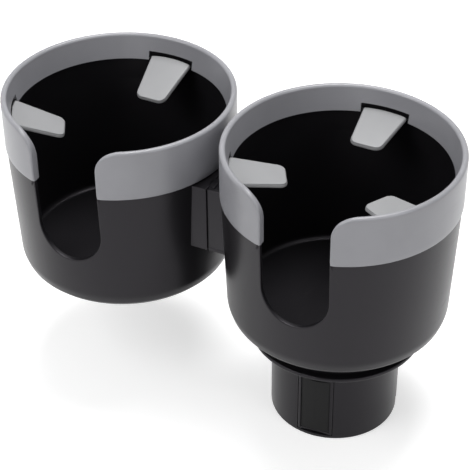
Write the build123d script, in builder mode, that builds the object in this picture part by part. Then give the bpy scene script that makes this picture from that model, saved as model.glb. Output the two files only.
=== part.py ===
"""Cup holder expander for a car, with a main cup on an expanding foot and a side cup on its bracket.

The round foot goes down into the car's own cup holder. Turning the cup on it drives three jaws outwards
through a scroll, until their rubber pads grip. The side cup hangs beside the main one on a dovetail bracket
and lifts off it. Each cup has a handle notch in front, and three sprung flaps that steady a drink.

Millimetres, +Z up. The origin is the centre of the foot's standing face, on the main cup's axis.
The side cup stands towards -X, and both handle notches face -Y.
"""

import math
import os

from build123d import *

# Where the cups stand
foot_height = 58.7
cup_gap = 3.25
cup_height = 92.2
flap_first_azimuth = 89.3

# Gaps between pieces
moving_gap = 0.3
seat_gap = 0.1
running_gap = 0.05
thread_gap = 0.02

# Cup shell, its heights counted from the cup's underside
shell_top_radius = 55.5
shell_draft = 2.4
shell_bend_height = 7.55
shell_bend_inset = 1.4
shell_bend_bulge = 0.25
shell_edge_height = 3.25
shell_edge_inset = 3.2
wall_thickness = 2.3
floor_thickness = 3.5
floor_fillet = 8.0
neck_thickness = 1.4
neck_drop = 7.2
underside_recess = 1.0

# Handle notch
notch_half_width = 16.5
notch_bottom = 27.8
notch_corner = 10.5
notch_corner_cut = 0.25

# Rim, a channel turned upside down over the neck
rim_step = 0.5
band_height = 25.3
bead_radius = 1.5
skirt_drop = 12.8
skirt_clearance = 0.3
skirt_thickness = 2.0
skirt_top_wall = 0.9
rim_web = 2.4
rim_end_wall = 2.6
window_width = 24.6
window_drop = 8.3
window_depth = 5.9

# Flaps and their hinges
hinge_inset = 0.3
hinge_drop = 11.5
flap_length = 25.5
flap_heel = 1.7
flap_root_width = 22.3
flap_tip_width = 15.8
flap_tip_round = 4.0
flap_root_round = 1.2
flap_thickness = 2.0
flap_top = 1.1
flap_edge_chamfer = 0.6
hinge_pin_radius = 0.4
hinge_pin_seat = 1.5
spring_bay = 7.0
spring_bay_length = 4.0
spring_skin = 0.3
spring_wire = 0.28
coil_length = 5.0
spring_leg = 1.6
main_droop_angle = 8.8
side_droop_angle = 22.5

# Bracket between the cups
bracket_width = 47.0
bracket_height = 35.0
bracket_drop = 0.9
bracket_root = 8.0
rail_offset = 17.0
rail_reach = 2.7
rail_root_width = 4.4
rail_tip_width = 8.0
rail_stop = 2.5

# Collar with the scroll
collar_radius = 38.5
collar_wall = 1.8
flange_width = 3.7
flange_thickness = 2.2
flange_round = 0.9
scroll_depth = 9.6
scroll_thickness = 3.4
hub_radius = 7.0
collar_screw_inset = 2.5

# Foot
foot_radius = 31.4
foot_wall = 2.6
foot_floor = 2.0
foot_ring_height = 8.6
foot_edge_round = 0.8
post_radius = 6.5
post_base_radius = 10.0
post_base_height = 9.0
guide_wall = 2.0
guide_wall_height = 14.0
guide_plate_step = 0.4
guide_plate_thickness = 3.0
plate_boss_radius = 3.4
plate_boss_bite = 0.4

# Jaws
jaw_count = 3
jaw_first_azimuth = -84.9
jaw_width = 17.1
jaw_proud = 0.2
jaw_panel_thickness = 5.0
jaw_side_gap = 0.5
jaw_border = 1.5
jaw_arm_width = 10.0
jaw_arm_gap = 1.2
jaw_pin_radius = 2.0
jaw_pin_circle = 16.0
jaw_post_wall = 1.2
jaw_travel = 9.0
scroll_turn = 100.0
scroll_steps = 6
pad_recess = 1.3
pad_thickness = 0.9

# Fasteners
bolt_radius = 3.0
bolt_end_gap = 2.0
bolt_head_radius = 6.0
bolt_head_height = 3.6
bolt_socket_radius = 2.6
bolt_socket_depth = 2.0
washer_radius = 6.8
washer_thickness = 0.8
bolt_recess_radius = 7.5
bolt_recess_depth = 6.0
screw_radius = 1.3
screw_head_radius = 2.6
screw_head_angle = 90.0
screw_length = 9.0

# Sizes worked out from those above
overshoot = 2.0
shell_bend_radius = shell_top_radius - shell_draft
shell_edge_radius = shell_bend_radius - shell_bend_inset
shell_base_radius = shell_edge_radius - shell_edge_inset
rim_radius = shell_top_radius + rim_step
band_bottom = cup_height - band_height
cup_spacing = 2 * rim_radius + cup_gap
seam_x = -cup_spacing / 2
neck_inner_radius = shell_top_radius - wall_thickness
neck_outer_radius = neck_inner_radius + neck_thickness
neck_top = cup_height - neck_drop
bead_inner_radius = rim_radius - 2 * bead_radius
bead_height = cup_height - bead_radius
channel_outer_radius = neck_outer_radius + 2 * seat_gap
channel_top = bead_height - rim_web
skirt_bottom = cup_height - skirt_drop
skirt_back_radius = neck_inner_radius - skirt_clearance
skirt_front_radius = skirt_back_radius - skirt_thickness
end_corner = notch_corner - rim_end_wall
end_rise = notch_corner - neck_drop
end_flare = end_corner - math.sqrt(end_corner**2 - end_rise**2)
neck_gap_half = notch_half_width + rim_end_wall + end_flare + seat_gap
hinge_radius = skirt_front_radius - hinge_inset
hinge_height = cup_height - hinge_drop
window_top = cup_height - window_drop
flap_root_radius = hinge_radius + flap_heel
coil_outer_radius = hinge_pin_radius + running_gap + spring_wire
bracket_top = band_bottom - bracket_drop
bracket_bottom = bracket_top - bracket_height
guide_plate_top = foot_height - scroll_depth
guide_plate_bottom = guide_plate_top - guide_plate_thickness
guide_plate_radius = foot_radius - guide_plate_step
flange_radius = collar_radius + flange_width
flange_bottom = guide_plate_bottom + moving_gap
flange_inner_radius = guide_plate_radius + 2 * moving_gap
scroll_bottom = guide_plate_top + moving_gap
scroll_top = scroll_bottom + scroll_thickness
slot_width = 2 * (jaw_pin_radius + moving_gap / 2)
collar_top = foot_height + underside_recess
collar_screw_circle = guide_plate_radius - collar_screw_inset
plate_screw_circle = foot_radius - foot_wall - plate_boss_radius + plate_boss_bite
jaw_radius = foot_radius + jaw_proud
jaw_inner_radius = jaw_radius - jaw_panel_thickness
jaw_bottom = foot_floor + moving_gap
jaw_top = guide_plate_bottom - foot_ring_height - moving_gap
jaw_height = jaw_top - jaw_bottom
jaw_arm_inner = post_base_radius + jaw_arm_gap
jaw_post_outer = jaw_pin_circle + jaw_pin_radius + jaw_post_wall
jaw_post_top = guide_plate_bottom - moving_gap
guide_inner = jaw_arm_inner + guide_wall / 2
guide_outer = jaw_inner_radius - guide_wall
bolt_seat = bolt_recess_depth - washer_thickness
bolt_top = collar_top - bolt_end_gap
screw_head_height = (screw_head_radius - screw_radius) / math.tan(math.radians(screw_head_angle / 2))
jaw_azimuths = [jaw_first_azimuth + 360 / jaw_count * i for i in range(jaw_count)]
plate_screw_azimuths = [azimuth + 180 / jaw_count for azimuth in jaw_azimuths]
collar_screw_azimuths = [azimuth - moving_gap for azimuth in jaw_azimuths]
flap_azimuths = {
    "back": flap_first_azimuth,
    "left": flap_first_azimuth + 120,
    "right": flap_first_azimuth + 240,
}

os.makedirs("parts", exist_ok=True)


def finish(piece, name):
    """Label a finished piece and write its file."""
    piece.part.label = name
    export_step(piece.part, f"parts/{name}.step")


def upright_plane(cup_x):
    """Section plane through a cup's axis: x is the radius, y the height over the cup's underside."""
    return Plane(origin=(cup_x, 0, foot_height), x_dir=(1, 0, 0), z_dir=(0, -1, 0))


def cup_axis(cup_x):
    return Axis((cup_x, 0, 0), (0, 0, 1))


def on_circle(radius, azimuth, height=0.0):
    """Point round the foot's axis."""
    return Vector(radius, 0, height).rotate(Axis.Z, azimuth)


def ring_points(radius, azimuths, height=0.0):
    """Points round the foot's axis, one at each azimuth."""
    return [on_circle(radius, azimuth, height) for azimuth in azimuths]


def radial_plane(azimuth, height=0.0):
    """Horizontal plane on the foot's axis, its x pointing outwards at an azimuth."""
    return Plane(origin=(0, 0, height), x_dir=on_circle(1, azimuth), z_dir=(0, 0, 1))


def notch_sketch(plane, margin=0.0):
    """U-shaped handle notch, flared at the rim's top; a margin makes it wider all round."""
    half = notch_half_width + margin
    corner = notch_corner - margin
    flare_z = cup_height - notch_corner + notch_corner_cut
    round_z = notch_bottom + notch_half_width
    above = cup_height + notch_corner
    with BuildSketch(plane) as notch:
        with BuildLine():
            side = Line((half, round_z), (half, flare_z))
            flare = RadiusArc(side @ 1, (half + corner, flare_z + corner), corner)
            rise = Line(flare @ 1, (half + corner, above))
            top = Line(rise @ 1, (-half - corner, above))
            fall = Line(top @ 1, (-half - corner, flare_z + corner))
            back = RadiusArc(fall @ 1, (-half, flare_z), corner)
            Line(back @ 1, (-half, round_z))
            ThreePointArc((-half, round_z), (0, round_z - half), (half, round_z))
        make_face()
    return notch.sketch


def make_cup_shell(cup_x, seam_side):
    """Moulded cup: a tapered wall, a stepped neck for the rim, and half of the bracket at its side.

    seam_side is -1 where the bracket stands towards -X and +1 where it stands towards +X.
    """
    section = upright_plane(cup_x)
    face_x = seam_x - seam_side * moving_gap / 2
    bracket_inner_x = cup_x + seam_side * (shell_bend_radius - bracket_root)
    wall_foot_radius = shell_bend_radius - wall_thickness
    with BuildPart() as shell:
        with BuildSketch(section):
            with BuildLine():
                under = Polyline(
                    (0, underside_recess),
                    (collar_radius + seat_gap, underside_recess),
                    (collar_radius + seat_gap, 0),
                    (shell_base_radius, 0),
                    (shell_edge_radius, shell_edge_height),
                )
                bend = SagittaArc(under @ 1, (shell_bend_radius, shell_bend_height), -shell_bend_bulge)
                Polyline(
                    bend @ 1,
                    (shell_top_radius, band_bottom),
                    (neck_outer_radius, band_bottom),
                    (neck_outer_radius, neck_top),
                    (0, neck_top),
                    (0, underside_recess),
                )
            make_face()
        revolve(axis=cup_axis(cup_x))
        with BuildSketch(Plane.XY.offset(foot_height + bracket_bottom)):
            with Locations(((face_x + bracket_inner_x) / 2, 0)):
                Rectangle(abs(face_x - bracket_inner_x), bracket_width)
        extrude(amount=bracket_height)
        with BuildSketch(section):
            with BuildLine():
                floor_line = Line((0, floor_thickness), (wall_foot_radius - floor_fillet, floor_thickness))
                wall_foot = (wall_foot_radius, floor_thickness + floor_fillet)
                corner = RadiusArc(floor_line @ 1, wall_foot, -floor_fillet)
                Polyline(
                    corner @ 1,
                    (neck_inner_radius, band_bottom),
                    (neck_inner_radius, cup_height),
                    (0, cup_height),
                    (0, floor_thickness),
                )
            make_face()
        revolve(axis=cup_axis(cup_x), mode=Mode.SUBTRACT)
        extrude(notch_sketch(section), amount=rim_radius + overshoot, mode=Mode.SUBTRACT)
        with BuildSketch(section):
            with Locations((0, (band_bottom + cup_height) / 2)):
                Rectangle(2 * neck_gap_half, band_height)
        extrude(amount=rim_radius + overshoot, mode=Mode.SUBTRACT)
    return shell


def rail_sketch(plane, tip_x, root_x, growth=0.0):
    """Pair of dovetail rails in plan, from their narrow root to their wide tip."""
    with BuildSketch(plane) as rails:
        for side in (-1, 1):
            y = side * rail_offset
            with BuildLine():
                Polyline(
                    (root_x, y - rail_root_width / 2 - growth),
                    (tip_x, y - rail_tip_width / 2 - growth),
                    (tip_x, y + rail_tip_width / 2 + growth),
                    (root_x, y + rail_root_width / 2 + growth),
                    close=True,
                )
            make_face()
    return rails.sketch


def rim_face(section):
    """Half section of the rim with its channel still filled: outer band, beaded top and sloping skirt."""
    with BuildSketch(section) as face:
        with BuildLine():
            band = Line((rim_radius, band_bottom), (rim_radius, bead_height))
            crown = (rim_radius - bead_radius, cup_height)
            bead = ThreePointArc(band @ 1, crown, (bead_inner_radius, bead_height))
            Polyline(
                bead @ 1,
                (skirt_front_radius, skirt_bottom),
                (skirt_front_radius, band_bottom),
                (rim_radius, band_bottom),
            )
        make_face()
    return face.sketch


def channel_face(section):
    """Half section of the channel between band and skirt, which the shell's neck stands in."""
    with BuildSketch(section) as face:
        with BuildLine():
            Polyline(
                (channel_outer_radius, band_bottom - overshoot),
                (channel_outer_radius, channel_top),
                (bead_inner_radius + skirt_top_wall, channel_top),
                (skirt_back_radius, neck_top + seat_gap),
                (skirt_back_radius, skirt_bottom),
                (skirt_front_radius - overshoot, skirt_bottom),
                (skirt_front_radius - overshoot, band_bottom - overshoot),
                close=True,
            )
        make_face()
    return face.sketch


def flap_plane(cup_x, azimuth, droop):
    """Plane of a flap: origin on its hinge, x along the flap into the cup, z out of its top face."""
    outward = on_circle(1, azimuth)
    level = Vector(0, 0, 1)
    angle = math.radians(droop)
    along = outward * -math.cos(angle) - level * math.sin(angle)
    normal = level * math.cos(angle) - outward * math.sin(angle)
    origin = Vector(cup_x, 0, foot_height + hinge_height) + outward * hinge_radius
    return Plane(origin=origin, x_dir=along, z_dir=normal)


def cross_plane(plane):
    """Plane square to a flap's hinge line at its middle: x along the flap, y out of its top face."""
    return Plane(origin=plane.origin, x_dir=plane.x_dir, z_dir=-plane.y_dir)


def make_rim(cup_x):
    """Rim: a channel over the neck, closed beside the notch, with a window for each flap and its pin."""
    section = upright_plane(cup_x)
    axis = cup_axis(cup_x)
    reach = rim_radius + overshoot
    with BuildPart() as channel:
        revolve(channel_face(section), axis=axis)
        extrude(notch_sketch(section, margin=rim_end_wall), amount=reach, mode=Mode.SUBTRACT)
    with BuildPart() as rim:
        revolve(rim_face(section), axis=axis)
        add(channel.part, mode=Mode.SUBTRACT)
        for azimuth in flap_azimuths.values():
            across = cross_plane(flap_plane(cup_x, azimuth, 0))
            low = skirt_bottom - overshoot - hinge_height
            high = window_top - hinge_height
            with BuildSketch(across):
                with Locations((0, (low + high) / 2)):
                    Rectangle(window_depth, high - low)
            extrude(amount=window_width / 2, both=True, mode=Mode.SUBTRACT)
            with BuildSketch(across):
                Circle(hinge_pin_radius + thread_gap)
            extrude(amount=window_width / 2 + hinge_pin_seat, both=True, mode=Mode.SUBTRACT)
        extrude(notch_sketch(section), amount=reach, mode=Mode.SUBTRACT)
    return rim


def make_flap(cup_x, azimuth, droop):
    """Flap: a tapering plate with soft edges, bored for its pin, with a bay below for the spring."""
    plane = flap_plane(cup_x, azimuth, droop)
    root = flap_root_width / 2
    tip = flap_tip_width / 2
    corner_x = hinge_radius - math.sqrt(flap_root_radius**2 - root**2)
    bay_top = flap_top - spring_skin
    with BuildPart() as flap:
        with BuildSketch(plane.offset(flap_top - flap_thickness)) as outline:
            with BuildLine():
                back = ThreePointArc((corner_x, -root), (-flap_heel, 0), (corner_x, root))
                Polyline(back @ 1, (flap_length, tip), (flap_length, -tip), back @ 0)
            make_face()
            corners = outline.vertices().group_by(Axis.X)
            fillet(corners[-1], flap_tip_round)
            fillet(outline.vertices().group_by(Axis.X)[0], flap_root_round)
        extrude(amount=flap_thickness)
        faces = flap.faces().sort_by(Axis(plane.origin, plane.z_dir))
        chamfer(faces[0].edges() + faces[-1].edges(), flap_edge_chamfer)
        with BuildSketch(cross_plane(plane)):
            with Locations((-flap_heel + spring_bay_length / 2, bay_top - flap_thickness)):
                Rectangle(spring_bay_length + overshoot, 2 * flap_thickness)
        extrude(amount=spring_bay / 2, both=True, mode=Mode.SUBTRACT)
        with BuildSketch(cross_plane(plane)):
            Circle(hinge_pin_radius + running_gap)
        extrude(amount=flap_root_width, both=True, mode=Mode.SUBTRACT)
    return flap


def make_hinge_pin(cup_x, azimuth):
    """Straight steel pin through the flap, its ends pressed into the rim's skirt beside the window."""
    length = window_width + 2 * (hinge_pin_seat - seat_gap)
    with BuildPart() as pin:
        with BuildSketch(cross_plane(flap_plane(cup_x, azimuth, 0))):
            Circle(hinge_pin_radius)
        extrude(amount=length / 2, both=True)
    return pin


def make_flap_spring(cup_x, azimuth):
    """Torsion spring in the flap's bay: a closed coil round the pin, with a short leg at each end."""
    across = cross_plane(flap_plane(cup_x, azimuth, 0))
    with BuildPart() as spring:
        with BuildSketch(across):
            Circle(coil_outer_radius)
            Circle(hinge_pin_radius + running_gap, mode=Mode.SUBTRACT)
        extrude(amount=coil_length / 2, both=True)
        for end, way in ((-1, 1), (1, -1)):
            with BuildSketch(across.offset(end * (coil_length - spring_wire) / 2)):
                with Locations((way * spring_leg / 2, spring_wire / 2 - coil_outer_radius)):
                    Rectangle(spring_leg, spring_wire)
            extrude(amount=spring_wire / 2, both=True)
    return spring


def pad_sketch(outer_radius, side_gap):
    """Plan of the pad's seat in a jaw, from the seat's floor out to a radius."""
    Circle(outer_radius)
    Circle(jaw_radius - pad_recess, mode=Mode.SUBTRACT)
    with Locations((jaw_radius, 0)):
        Rectangle(jaw_radius, jaw_width - 2 * (jaw_border + side_gap), mode=Mode.INTERSECT)


def make_jaw(azimuth):
    """Jaw: a curved panel in the foot's side, an arm that slides in the foot, and a post with a pin."""
    base = radial_plane(azimuth, jaw_bottom)
    arm_length = jaw_inner_radius + foot_wall / 2 - jaw_arm_inner
    post_length = jaw_post_outer - jaw_arm_inner
    with BuildPart() as jaw:
        with BuildSketch(base):
            Circle(jaw_radius)
            Circle(jaw_inner_radius, mode=Mode.SUBTRACT)
            with Locations((jaw_radius, 0)):
                Rectangle(jaw_radius, jaw_width, mode=Mode.INTERSECT)
        extrude(amount=jaw_height)
        with BuildSketch(base):
            with Locations((jaw_arm_inner + arm_length / 2, 0)):
                Rectangle(arm_length, jaw_arm_width)
        extrude(amount=jaw_height)
        with BuildSketch(base):
            with Locations((jaw_arm_inner + post_length / 2, 0)):
                Rectangle(post_length, jaw_arm_width)
        extrude(amount=jaw_post_top - jaw_bottom)
        with BuildSketch(radial_plane(azimuth, jaw_post_top)):
            with Locations((jaw_pin_circle, 0)):
                Circle(jaw_pin_radius)
        extrude(amount=scroll_top - moving_gap - jaw_post_top)
        with BuildSketch(base.offset(jaw_border)):
            pad_sketch(jaw_radius + overshoot, 0)
        extrude(amount=jaw_height - 2 * jaw_border, mode=Mode.SUBTRACT)
    return jaw


def make_jaw_pad(azimuth):
    """Rubber pad that lies in a jaw's seat, a little below its border."""
    with BuildPart() as pad:
        with BuildSketch(radial_plane(azimuth, jaw_bottom + jaw_border + seat_gap)):
            pad_sketch(jaw_radius - pad_recess + pad_thickness, seat_gap)
        extrude(amount=jaw_height - 2 * (jaw_border + seat_gap))
    return pad


def scroll_point(azimuth, share):
    """Point on a jaw's spiral in the collar: the radius grows evenly as the angle falls back."""
    return on_circle(jaw_pin_circle + jaw_travel * share, azimuth - scroll_turn * share)


def make_screws(circle, azimuths, under_face, head_up):
    """Group of countersunk screws on a circle, their heads flush with a face."""
    way = -1 if head_up else 1
    with BuildPart() as screws:
        for azimuth in azimuths:
            seat = Plane(origin=on_circle(circle, azimuth, under_face), x_dir=(1, 0, 0), z_dir=(0, 0, way))
            with BuildSketch(seat):
                Circle(screw_head_radius)
            extrude(amount=screw_head_height, taper=screw_head_angle / 2)
            with BuildSketch(seat):
                Circle(screw_radius)
            extrude(amount=screw_length)
    return screws


# Main cup, with three posts under its floor for the collar's screws
with BuildPart() as main_cup_shell:
    add(make_cup_shell(0, -1).part)
    with BuildSketch(Plane.XY.offset(scroll_top)):
        with Locations(ring_points(collar_screw_circle, collar_screw_azimuths)):
            Circle(plate_boss_radius)
    extrude(amount=collar_top + floor_thickness / 2 - scroll_top)
    with BuildSketch(Plane.XY.offset(scroll_top)):
        with Locations(ring_points(collar_screw_circle, collar_screw_azimuths)):
            Circle(screw_radius + thread_gap)
    extrude(amount=screw_length - scroll_thickness + moving_gap, mode=Mode.SUBTRACT)
    groove_plane = Plane.XY.offset(foot_height + bracket_bottom + rail_stop)
    grooves = rail_sketch(groove_plane, seam_x + rail_reach + moving_gap, seam_x, moving_gap)
    extrude(grooves, amount=bracket_height, mode=Mode.SUBTRACT)
finish(main_cup_shell, "main_cup_shell")

main_rim = make_rim(0)
finish(main_rim, "main_rim")

# Side cup, with the tongues of the dovetail on its half of the bracket
with BuildPart() as side_cup_shell:
    add(make_cup_shell(-cup_spacing, 1).part)
    tongue_plane = Plane.XY.offset(foot_height + bracket_bottom + rail_stop + moving_gap)
    tongues = rail_sketch(tongue_plane, seam_x + rail_reach, seam_x - moving_gap / 2)
    extrude(tongues, amount=bracket_height - rail_stop - moving_gap)
finish(side_cup_shell, "side_cup_shell")

with BuildPart() as side_rim:
    with Locations((-cup_spacing, 0, 0)):
        add(make_rim(0).part)
finish(side_rim, "side_rim")

# Collar: a flange over the foot, a plate with three spiral slots, a neck under the cup and a hub
with BuildPart() as scroll_collar:
    with BuildSketch(Plane.XZ) as collar_section:
        with BuildLine():
            Polyline(
                (0, scroll_bottom),
                (flange_inner_radius, scroll_bottom),
                (flange_inner_radius, flange_bottom),
                (flange_radius, flange_bottom),
                (flange_radius, flange_bottom + flange_thickness),
                (collar_radius, flange_bottom + flange_thickness),
                (collar_radius, collar_top),
                (collar_radius - collar_wall, collar_top),
                (collar_radius - collar_wall, scroll_top),
                (hub_radius, scroll_top),
                (hub_radius, collar_top - moving_gap),
                (0, collar_top - moving_gap),
                close=True,
            )
        make_face()
        fillet(collar_section.vertices().group_by(Axis.X)[-1], flange_round)
    revolve(axis=Axis.Z)
    for azimuth in jaw_azimuths:
        with BuildSketch(Plane.XY.offset(scroll_bottom)):
            with BuildLine() as spiral:
                Spline([scroll_point(azimuth, step / scroll_steps) for step in range(scroll_steps + 1)])
            trace(spiral.line, slot_width)
            with Locations(scroll_point(azimuth, 0), scroll_point(azimuth, 1)):
                Circle(slot_width / 2)
        extrude(amount=scroll_thickness, mode=Mode.SUBTRACT)
    with BuildSketch(Plane.XY.offset(scroll_bottom)):
        Circle(bolt_radius + thread_gap)
    extrude(amount=bolt_top + seat_gap - scroll_bottom, mode=Mode.SUBTRACT)
    for azimuth in collar_screw_azimuths:
        under = Plane(origin=on_circle(collar_screw_circle, azimuth, scroll_bottom), z_dir=(0, 0, -1))
        with Locations(under):
            CounterSinkHole(
                screw_radius + thread_gap, screw_head_radius + seat_gap, scroll_thickness, screw_head_angle
            )
finish(scroll_collar, "scroll_collar")

# Pivot bolt, up through the foot's post into the collar's hub, and its washer
with BuildPart() as pivot_bolt:
    with BuildSketch(Plane.XY.offset(bolt_seat)):
        Circle(bolt_radius)
    extrude(amount=bolt_top - bolt_seat)
    with BuildSketch(Plane.XY.offset(bolt_seat - bolt_head_height)):
        Circle(bolt_head_radius)
    extrude(amount=bolt_head_height)
    with BuildSketch(Plane.XY.offset(bolt_seat - bolt_head_height)):
        RegularPolygon(bolt_socket_radius, 6)
    extrude(amount=bolt_socket_depth, mode=Mode.SUBTRACT)
finish(pivot_bolt, "pivot_bolt")

with BuildPart() as pivot_washer:
    with BuildSketch(Plane.XY.offset(bolt_seat)):
        Circle(washer_radius)
        Circle(bolt_radius + seat_gap, mode=Mode.SUBTRACT)
    extrude(amount=washer_thickness)
finish(pivot_washer, "pivot_washer")

collar_screws = make_screws(collar_screw_circle, collar_screw_azimuths, scroll_bottom, head_up=False)
finish(collar_screws, "collar_screws")

# Foot housing: a cup with a window for each jaw, guides on its floor and a post for the bolt
with BuildPart() as foot_housing:
    with BuildSketch():
        Circle(foot_radius)
    extrude(amount=guide_plate_bottom)
    fillet(foot_housing.edges().group_by(Axis.Z)[0], foot_edge_round)
    with BuildSketch(Plane.XY.offset(foot_floor)):
        Circle(foot_radius - foot_wall)
    extrude(amount=guide_plate_bottom, mode=Mode.SUBTRACT)
    with BuildSketch(Plane.XY.offset(foot_floor)):
        Circle(post_radius)
    extrude(amount=guide_plate_top - foot_floor)
    with BuildSketch(Plane.XY.offset(foot_floor)):
        Circle(post_base_radius)
    extrude(amount=post_base_height - foot_floor)
    with BuildSketch(Plane.XY.offset(foot_floor)):
        with Locations(ring_points(plate_screw_circle, plate_screw_azimuths)):
            Circle(plate_boss_radius)
    extrude(amount=guide_plate_bottom - foot_floor)
    for azimuth in jaw_azimuths:
        with BuildSketch(radial_plane(azimuth, foot_floor)):
            with Locations((foot_radius, 0)):
                Rectangle(2 * jaw_panel_thickness, jaw_width + 2 * jaw_side_gap)
        extrude(amount=jaw_top + moving_gap - foot_floor, mode=Mode.SUBTRACT)
        with BuildSketch(radial_plane(azimuth, foot_floor)):
            for side in (-1, 1):
                middle = side * (jaw_arm_width / 2 + moving_gap + guide_wall / 2)
                with Locations(((guide_inner + guide_outer) / 2, middle)):
                    Rectangle(guide_outer - guide_inner, guide_wall)
        extrude(amount=guide_wall_height)
    with BuildSketch():
        Circle(bolt_recess_radius)
    extrude(amount=bolt_recess_depth, mode=Mode.SUBTRACT)
    with BuildSketch():
        Circle(bolt_radius + running_gap)
    extrude(amount=guide_plate_top, mode=Mode.SUBTRACT)
    with BuildSketch(Plane.XY.offset(guide_plate_bottom)):
        with Locations(ring_points(plate_screw_circle, plate_screw_azimuths)):
            Circle(screw_radius + thread_gap)
    extrude(amount=-screw_length, mode=Mode.SUBTRACT)
finish(foot_housing, "foot_housing")

# Guide plate: closes the foot's top, with a radial slot for each jaw's pin
with BuildPart() as guide_plate:
    with BuildSketch(Plane.XY.offset(guide_plate_bottom)):
        Circle(guide_plate_radius)
        Circle(post_radius + seat_gap, mode=Mode.SUBTRACT)
        for azimuth in jaw_azimuths:
            middle = on_circle(jaw_pin_circle + jaw_travel / 2, azimuth)
            with Locations(Location(middle, (0, 0, azimuth))):
                SlotCenterToCenter(jaw_travel + 2 * running_gap, slot_width, mode=Mode.SUBTRACT)
    extrude(amount=guide_plate_thickness)
    with Locations(ring_points(plate_screw_circle, plate_screw_azimuths, guide_plate_top)):
        CounterSinkHole(
            screw_radius + thread_gap, screw_head_radius + seat_gap, guide_plate_thickness, screw_head_angle
        )
finish(guide_plate, "guide_plate")

guide_plate_screws = make_screws(plate_screw_circle, plate_screw_azimuths, guide_plate_top, head_up=True)
finish(guide_plate_screws, "guide_plate_screws")

# Flaps with their pins and springs
for cup, cup_x, droop in (("main", 0, main_droop_angle), ("side", -cup_spacing, side_droop_angle)):
    for place, azimuth in flap_azimuths.items():
        finish(make_flap(cup_x, azimuth, droop), f"{cup}_flap_{place}")
        finish(make_hinge_pin(cup_x, azimuth), f"{cup}_hinge_pin_{place}")
        finish(make_flap_spring(cup_x, azimuth), f"{cup}_flap_spring_{place}")

# Jaws and pads
for number, azimuth in enumerate(jaw_azimuths, start=1):
    finish(make_jaw(azimuth), f"jaw_{number}")
    finish(make_jaw_pad(azimuth), f"jaw_pad_{number}")
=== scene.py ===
"""Looks of a cup holder expander: two black cups with grey rims and sprung flaps, on an expanding foot.

Sizes are in millimetres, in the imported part's frame: its origin is the middle of the foot's standing face.
"""

import math

import bmesh
import bpy
import numpy as np
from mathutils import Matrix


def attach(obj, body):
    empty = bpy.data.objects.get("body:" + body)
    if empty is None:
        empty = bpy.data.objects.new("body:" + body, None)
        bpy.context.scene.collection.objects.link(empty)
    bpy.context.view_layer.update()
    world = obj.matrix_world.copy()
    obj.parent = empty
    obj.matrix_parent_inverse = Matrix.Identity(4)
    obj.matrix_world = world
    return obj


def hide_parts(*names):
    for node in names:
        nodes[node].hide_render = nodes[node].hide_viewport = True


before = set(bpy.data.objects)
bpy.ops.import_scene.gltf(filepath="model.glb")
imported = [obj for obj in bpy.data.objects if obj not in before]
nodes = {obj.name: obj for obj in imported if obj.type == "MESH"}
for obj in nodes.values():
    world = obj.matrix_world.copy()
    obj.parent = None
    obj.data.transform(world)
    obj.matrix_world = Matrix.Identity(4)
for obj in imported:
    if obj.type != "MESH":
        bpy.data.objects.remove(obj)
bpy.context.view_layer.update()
scene = bpy.context.scene
mm = 0.001

# Foot housing, guide plate and their screws
# The housing is one black moulding that drops into the car's own cup holder. A moulded plate closes its top,
# held by three steel screws, and guides the jaws.
cloud_scale = 28.0
scratch_scale = (900, 60, 900)
scratch_turn = (0.4, 0.9, 0.3)
scratch_low = 0.66
scratch_high = 0.72


class Shade:
    """One socket of a material, with the arithmetic of numbers and of other sockets."""

    def __init__(self, tree, socket):
        self.tree = tree
        self.socket = socket

    def node(self, kind, settings=None, out=0, **inputs):
        """A node of a kind: its settings first, then the values or links of its sockets."""
        new = self.tree.nodes.new(kind)
        for key, value in (settings or {}).items():
            setattr(new, key, value)
        for key, value in inputs.items():
            socket = new.inputs[int(key[1:])] if key[0] == "_" else new.inputs[key.replace("_", " ")]
            if isinstance(value, Shade):
                self.tree.links.new(value.socket, socket)
            else:
                socket.default_value = value
        return Shade(self.tree, new.outputs[out])

    def math(self, operation, *values):
        """A Math node of an operation on values."""
        sockets = {f"_{i}": value for i, value in enumerate(values)}
        return self.node("ShaderNodeMath", {"operation": operation}, **sockets)

    def __add__(self, other):
        return self.math("ADD", self, other)

    def __radd__(self, other):
        return self.math("ADD", other, self)

    def __sub__(self, other):
        return self.math("SUBTRACT", self, other)

    def __rsub__(self, other):
        return self.math("SUBTRACT", other, self)

    def __mul__(self, other):
        return self.math("MULTIPLY", self, other)

    def __rmul__(self, other):
        return self.math("MULTIPLY", other, self)

    def step(self, low, high):
        """Smooth rise from 0 at low to 1 at high."""
        smooth = {"interpolation_type": "SMOOTHSTEP"}
        return self.node("ShaderNodeMapRange", smooth, Value=self, From_Min=low, From_Max=high)

    def mix(self, low, high):
        """Blend of two colours by this mask."""
        return self.node("ShaderNodeMix", {"data_type": "RGBA"}, out=2, _0=self, _6=low, _7=high)


def new_material(name):
    """An empty Principled material: (material, its shader, its Object coordinates as a Shade)."""
    material = bpy.data.materials.new(name)
    material.use_nodes = True
    tree = material.node_tree
    shader = tree.nodes["Principled BSDF"]
    place = Shade(tree, tree.nodes.new("ShaderNodeTexCoord").outputs["Object"])
    return material, shader, place


def feed(shader, socket, value):
    """Link a Shade into a shader's socket, or set a plain value there."""
    if isinstance(value, Shade):
        value.tree.links.new(value.socket, shader.inputs[socket])
    else:
        shader.inputs[socket].default_value = value


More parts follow.
